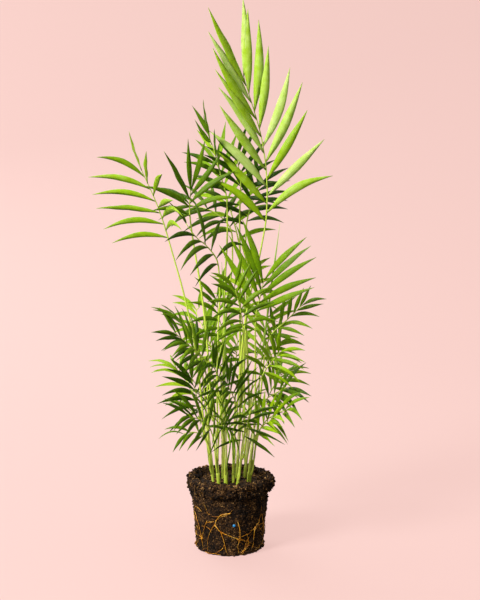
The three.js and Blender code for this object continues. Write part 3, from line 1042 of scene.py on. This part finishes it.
@dataclass
class SoilBall:
    """The nursery pot's cast in damp peat: a pitted wall, a crumbled collar, crumbs and fibres."""

    draw: random.Random
    node: str = "root_ball"
    voxel: float = 1.25 * MM
    crumbs: int = 2000
    fibres: int = 320
    collar_height: float = 20 * MM
    skirt_height: float = 7 * MM
    rim_height: float = 10 * MM
    top_height: float = 76 * MM
    coarse_height: float = 78 * MM
    coarse: float = 1.6
    bumps: tuple[tuple[float, float], ...] = (
        (11 * MM, 1.0 * MM), (4.2 * MM, 1.5 * MM), (2.2 * MM, 1.3 * MM))
    bands: tuple[WornBand, ...] = (
        WornBand(9 * MM, 8 * MM, left=-3.4 * MM, right=0.6 * MM),
        WornBand(-4 * MM, 7 * MM, left=2.6 * MM, right=-0.8 * MM))
    crumb_sizes: tuple[float, ...] = (0.5, 0.6, 0.8, 0.9, 1.1, 1.5)
    crumb_tones: tuple[float, ...] = (-0.06, -0.04, -0.02, 0.0, 0.0, 0.03, 0.06, 0.14)
    fibre_lengths: tuple[float, float] = (3 * MM, 9 * MM)
    fibre_radii: tuple[float, float] = (0.16 * MM, 0.3 * MM)
    crumb: bpy.types.Object = field(init=False)
    fibre: bpy.types.Object = field(init=False)

    def build(self) -> bpy.types.Object:
        """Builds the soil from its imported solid.

        Returns:
            The finished piece.
        """
        self.crumb, self.fibre = self._crumb_blank(), self._fibre_blank()
        ball = self._body()
        surface = self._sample(ball, self.crumbs + self.fibres)
        pieces = [ball]
        pieces += [self._crumb(*spot) for spot in surface[:self.crumbs]]
        pieces += [self._fibre(*spot) for spot in surface[self.crumbs:]]
        for spare in (self.crumb, self.fibre):
            bpy.data.objects.remove(spare)
        soil = join("root_ball_soil", pieces)
        places = vertex_places(soil)
        places[:, 2] = np.maximum(places[:, 2], 0.0)
        soil.data.vertices.foreach_set("co", places.ravel())
        dress(soil, "moist_potting_soil", self.node)
        return soil

    def _body(self) -> bpy.types.Object:
        """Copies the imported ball, closes it finely and roughens it."""
        ball = copy_of_solid(self.node, SOIL)
        apply_modifier(ball, "REMESH", mode="VOXEL", voxel_size=self.voxel)
        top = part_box(self.node)[1].z
        waist = top - self.collar_height
        for vertex in ball.data.vertices:
            vertex.co = self._worn(vertex.co, waist, top)
        bpy.ops.object.shade_smooth()
        return ball

    def _worn(self, place: Vector, waist: float, top: float) -> Vector:
        """Moves a point of the ball's skin as wear and crumbling would.

        Args:
            place: The point.
            waist: The height where the collar starts.
            top: The height of the rim.

        Returns:
            The worn place.
        """
        radial = Vector((place.x, place.y, 0))
        if radial.length < 1 * MM:
            return place
        out = radial.normalized()
        moved = place + out * sum(noise.noise(place / wide) * high for wide, high in self.bumps)
        for band in self.bands:
            moved += out * band.swell(out, place.z - waist)
        skirt = max(1 - place.z / self.skirt_height, 0.0)
        moved += out * skirt * (3.0 * MM + noise.noise(place / (5 * MM)) * 3.2 * MM)
        rim = min(max((place.z - waist) / (top - waist), 0.0), 1.0)
        ring = noise.noise(out * 2.3 + Vector((3.1, 0.4, 1.7)))
        if rim > 0:
            bite = noise.noise(place / (7 * MM)) * 2.8 * MM
            moved += out * (bite + ring * 2.2 * MM) * math.sin(math.pi * min(rim * 0.8 + 0.1, 1.0))
        tall = min(max((place.z - (top - self.rim_height)) / self.rim_height, 0.0), 1.0)
        moved.z += tall * (noise.noise(place / (6 * MM)) * 2.2 * MM + ring * 1.6 * MM - 0.6 * MM)
        return moved

    def _sample(self, ball: bpy.types.Object, count: int) -> list[tuple[Vector, Vector]]:
        """Draws places on the ball's skin, with the way each faces.

        Args:
            ball: The soil's body.
            count: How many to draw.

        Returns:
            Pairs of place and normal, above the underside.
        """
        lowest, top_share = 2 * MM, 2.2
        faces = [f for f in ball.data.polygons if f.center.z > lowest]
        weights = [f.area * (top_share if f.center.z > self.top_height else 1.0) for f in faces]
        chosen = self.draw.choices(faces, weights, k=count)
        return [(f.center.copy(), f.normal.copy()) for f in chosen]

    def _crumb(self, place: Vector, facing: Vector) -> bpy.types.Object:
        """Presses one irregular crumb into the skin."""
        crumb = copy_of(self.crumb)
        size = self.draw.choice(self.crumb_sizes) * MM
        paint_attribute(crumb, "tone", self.draw.choice(self.crumb_tones))
        if place.z > self.coarse_height:
            size *= self.coarse
        spin = Matrix.Rotation(self.draw.uniform(0, 2 * math.pi), 3, "Z")
        spin @= Matrix.Rotation(self.draw.uniform(0, math.pi), 3, "X")
        ranges = ((0.7, 1.4), (0.7, 1.3), (0.6, 1.1))
        grow = Vector([self.draw.uniform(least, most) for least, most in ranges])
        centre = place + facing * size * 0.25
        for vertex in crumb.data.vertices:
            vertex.co = centre + spin @ (vertex.co * grow * size)
        return crumb

    def _fibre(self, place: Vector, facing: Vector) -> bpy.types.Object:
        """Lays one loose fibre along the skin."""
        fibre = copy_of(self.fibre)
        length = self.draw.uniform(*self.fibre_lengths)
        thick = self.draw.uniform(*self.fibre_radii)
        loose = Vector([self.draw.uniform(-1, 1) for _ in range(3)])
        along = (loose - facing * loose.dot(facing) * 0.85).normalized()
        side = along.cross(facing).normalized()
        bow = self.draw.uniform(-0.2, 0.2) * length
        for vertex in fibre.data.vertices:
            x, y, z = vertex.co
            arch = math.sin(math.pi * x)
            vertex.co = (place + along * (x - 0.5) * length + side * (y * thick + bow * arch)
                         + facing * (z * thick + 0.4 * MM * arch))
        return fibre

    @staticmethod
    def _crumb_blank() -> bpy.types.Object:
        """Models the crumb to copy: a coarse ball with its corners pushed about."""
        deselect()
        bpy.ops.mesh.primitive_ico_sphere_add(subdivisions=1, radius=1)
        crumb = bpy.context.object
        for vertex in crumb.data.vertices:
            vertex.co *= 1 + 0.35 * noise.noise(vertex.co * 1.7)
        bpy.ops.object.shade_smooth()
        crumb.data.materials.append(skin(SOIL))
        return crumb

    @staticmethod
    def _fibre_blank() -> bpy.types.Object:
        """Models the fibre to copy: a slim three-sided rod, 1 long, with thin ends."""
        deselect()
        bpy.ops.mesh.primitive_cylinder_add(vertices=3, radius=1, depth=1, location=(0.5, 0, 0),
                                            rotation=(0, math.pi / 2, 0))
        fibre = bpy.context.object
        bpy.ops.object.transform_apply(location=True, rotation=True)
        bpy.ops.object.mode_set(mode="EDIT")
        bpy.ops.mesh.select_all(action="SELECT")
        bpy.ops.mesh.subdivide(number_cuts=3)
        for end in (0.0, 1.0):
            select_vertices(fibre, lambda co, end=end: abs(co.x - end) < 0.01)
            bpy.ops.transform.resize(value=(1, 0.3, 0.3), center_override=(end, 0, 0))
        bpy.ops.object.mode_set(mode="OBJECT")
        fibre.data.materials.append(skin(FIBRE))
        return fibre


@dataclass
class RootNetwork:
    """Roots that ran between pot and soil: rounded strands with fine side roots."""

    node: str
    draw: random.Random
    wall: bpy.types.Object
    rootlets: int = 6
    thinning: float = 0.4 * MM
    wall_radius: float = 47 * MM
    reach: float = 90 * MM
    inner_radius: float = 45 * MM
    lowest: float = 2 * MM
    highest: float = 68 * MM
    steps: tuple[float, float] = (4 * MM, 6 * MM)
    rootlet_radii: tuple[float, float] = (0.28 * MM, 0.45 * MM)

    def build(self) -> bpy.types.Object:
        """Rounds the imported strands, and adds fine side roots on the wall.

        Returns:
            The finished piece.
        """
        strands = copy_of_solid(self.node, ROOT)
        spine = [vertex.co.copy() for vertex in strands.data.vertices]
        apply_modifier(strands, "SUBSURF", levels=2, render_levels=2)
        apply_modifier(strands, "DISPLACE", strength=-self.thinning, mid_level=0.0)
        for vertex in strands.data.vertices:
            out = Vector((vertex.co.x, vertex.co.y, 0)).normalized()
            shake = noise.noise(vertex.co / (6 * MM)) * 0.7 * MM
            rise = noise.noise(vertex.co / (5 * MM)) * 0.8 * MM
            vertex.co += out * (shake - 0.25 * MM) + Vector((0, 0, rise))
        bpy.ops.object.shade_smooth()
        pieces = [strands]
        pieces += [self._rootlet(self.draw.choice(spine), i) for i in range(self.rootlets)]
        roots = join(self.node + "_strands", pieces)
        dress(roots, "living_root", self.node)
        return roots

    def _rootlet(self, start: Vector, index: int) -> bpy.types.Object:
        """Wanders a fine side root over the wall.

        Args:
            start: Where it leaves its strand.
            index: Its number, for its name.

        Returns:
            The rootlet, as a mesh.
        """
        turn = math.atan2(start.y, start.x)
        height = start.z
        step = self.draw.uniform(*self.steps)
        heading = self.draw.choice([-1, 1]) * self.draw.uniform(0.5, 2.4)
        line = []
        for _ in range(self.draw.randint(5, 9)):
            line.append(self._on_wall(turn, height))
            heading += self.draw.uniform(-0.45, 0.45)
            turn += math.sin(heading) * step / self.wall_radius
            height -= math.cos(heading) * step * 0.9
            height = min(max(height, self.lowest), self.highest)
        thick = self.draw.uniform(*self.rootlet_radii)
        radii = [thick * (1 - 0.6 * i / len(line)) for i in range(len(line))]
        return sweep_tube(f"{self.node}_rootlet_{index}", line, radii, ROOT, 6)

    def _on_wall(self, turn: float, height: float) -> Vector:
        """Returns the place on the soil's wall at a turn and a height."""
        out = Vector((math.cos(turn), math.sin(turn), 0))
        start = out * self.reach + Vector((0, 0, height))
        hit, place, _, _ = self.wall.ray_cast(start, -out)
        if not hit:
            place = out * self.inner_radius + Vector((0, 0, height))
        return place + out * 0.25 * MM


@dataclass
class Bead:
    """The fertiliser bead: a dyed resin grain, not quite round."""

    node: str = "fertiliser_bead"

    def build(self) -> bpy.types.Object:
        """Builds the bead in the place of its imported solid.

        Returns:
            The finished piece.
        """
        low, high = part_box(self.node)
        centre = (low + high) / 2
        radius = (high.x - low.x) / 2
        deselect()
        bpy.ops.mesh.primitive_ico_sphere_add(subdivisions=4, radius=radius, location=centre)
        bead = bpy.context.object
        bead.name = "fertiliser_bead_grain"
        bpy.ops.object.transform_apply(location=True)
        for vertex in bead.data.vertices:
            away = vertex.co - centre
            vertex.co = centre + away * (1 + 0.06 * noise.noise(away / (1.2 * MM)))
        bpy.ops.object.shade_smooth()
        bead.data.materials.append(skin(BEAD))
        dress(bead, "coated_fertiliser", self.node)
        return bead


# ---------------------------------------------------------------- studio


@dataclass(frozen=True)
class SoftBox:
    """A round soft lamp: where it hangs, what it points at, its width and its watts."""

    name: str
    place: tuple[float, float, float]
    aim: tuple[float, float, float]
    size: float
    power: float

    def hang(self) -> None:
        """Hangs the lamp, out of the camera's sight."""
        data = bpy.data.lights.new(self.name, "AREA")
        data.shape = "DISK"
        data.size = self.size
        data.energy = self.power
        lamp = bpy.data.objects.new(self.name, data)
        bpy.context.scene.collection.objects.link(lamp)
        lamp.visible_camera = False
        lamp.location = self.place
        way = Vector(self.aim) - Vector(self.place)
        lamp.rotation_euler = way.to_track_quat("-Z", "Y").to_euler()


@dataclass
class Studio:
    """A round blush sweep, soft lamps and the camera."""

    floor_radius: float = 1.2
    fillet: float = 2.8
    wall_height: float = 4.5
    fillet_steps: int = 28
    turns: int = 96
    lamps: tuple[SoftBox, ...] = (
        SoftBox("key", (-1.6, -1.5, 1.7), (0.0, 0.0, 0.35), 0.9, 120),
        SoftBox("fill", (1.9, -1.6, 1.3), (0.0, 0.0, 0.3), 2.2, 8),
        SoftBox("top", (0.2, 0.3, 2.4), (0.0, 0.0, 0.2), 1.8, 20),
        SoftBox("back", (-0.9, 1.8, 1.5), (0.0, 0.0, 0.4), 1.4, 24),
        SoftBox("wall wash", (-1.6, 1.3, 2.3), (-0.9, 3.4, 0.7), 1.6, 78))
    air_tint: str = "#fff2ee"
    air_strength: float = 0.22
    lens: float = 80
    camera_place: tuple[float, float, float] = (0.0131, -1.674, 0.590)
    camera_tilt: float = 81

    def build(self) -> None:
        """Builds the sweep, the lamps and the camera."""
        self._sweep()
        for lamp in self.lamps:
            lamp.hang()
        self._ambient()
        self._camera()

    def _sweep(self) -> None:
        """Spins the profile of floor, fillet and wall into a round sweep."""
        profile = [(0.0, 0.0), (self.floor_radius, 0.0)]
        for i in range(1, self.fillet_steps + 1):
            angle = math.pi / 2 * i / self.fillet_steps
            profile.append((self.floor_radius + self.fillet * math.sin(angle),
                            self.fillet * (1 - math.cos(angle))))
        profile.append((self.floor_radius + self.fillet, self.wall_height))
        deselect()
        bpy.ops.mesh.primitive_plane_add(size=1)
        sweep = bpy.context.object
        sweep.name = "studio_sweep"
        bpy.ops.object.mode_set(mode="EDIT")
        bpy.ops.mesh.select_all(action="SELECT")
        bpy.ops.mesh.delete(type="VERT")
        mesh = bmesh.from_edit_mesh(sweep.data)
        made = [mesh.verts.new((r, 0, z)) for r, z in profile]
        for one, other in zip(made, made[1:]):
            mesh.edges.new((one, other))
        bmesh.update_edit_mesh(sweep.data)
        bpy.ops.mesh.select_all(action="SELECT")
        bpy.ops.mesh.spin(steps=self.turns, angle=2 * math.pi, center=(0, 0, 0), axis=(0, 0, 1))
        bpy.ops.object.mode_set(mode="OBJECT")
        weld(sweep, threshold=1e-5, inward=True)
        bpy.ops.object.shade_smooth()
        sweep.visible_diffuse = False
        sweep.visible_glossy = False
        sweep.data.materials.append(skin(SWEEP))

    def _ambient(self) -> None:
        """Lights the open sky above the sweep."""
        world = bpy.data.worlds.new("studio_air")
        bpy.context.scene.world = world
        world.use_nodes = True
        background = world.node_tree.nodes["Background"]
        background.inputs["Color"].default_value = linear(self.air_tint)
        background.inputs["Strength"].default_value = self.air_strength

    def _camera(self) -> None:
        """Sets the camera a little above the leaves' middle, looking slightly down."""
        data = bpy.data.cameras.new("camera")
        data.lens = self.lens
        data.sensor_width = 36
        camera = bpy.data.objects.new("camera", data)
        bpy.context.scene.collection.objects.link(camera)
        camera.location = self.camera_place
        camera.rotation_euler = (math.radians(self.camera_tilt), 0, 0)
        bpy.context.scene.camera = camera
        bpy.context.scene.view_settings.view_transform = "Standard"


def main() -> None:
    """Builds the studio and every piece, and reports each."""
    logging.basicConfig(level=logging.INFO, format="%(message)s")
    Studio().build()
    names = sorted(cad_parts)
    canes = {}
    for node in names:
        if node.endswith("_cane"):
            line, _ = read_rod(node, 8)
            canes[node.split("_")[1]] = (line[0], line[-1])
    soil = SoilBall(random.Random(11)).build()
    for i, node in enumerate(names):
        if node.startswith("root_") and node != "root_ball":
            RootNetwork(node, random.Random(100 + i), soil).build()
        elif node.endswith("_cane"):
            Cane(node, random.Random(200 + i)).build()
        elif node.endswith("_spear"):
            Spear(node).build()
    Bead().build()
    blank = LeafletBlank().build()
    places = vertex_places(blank)
    for i, node in enumerate(names):
        if "_frond_" in node:
            cane = canes[node.split("_")[1]]
            Frond(node, blank, places, cane, random.Random(300 + i)).build()
    bpy.data.objects.remove(blank)


if __name__ == "__main__":
    main()
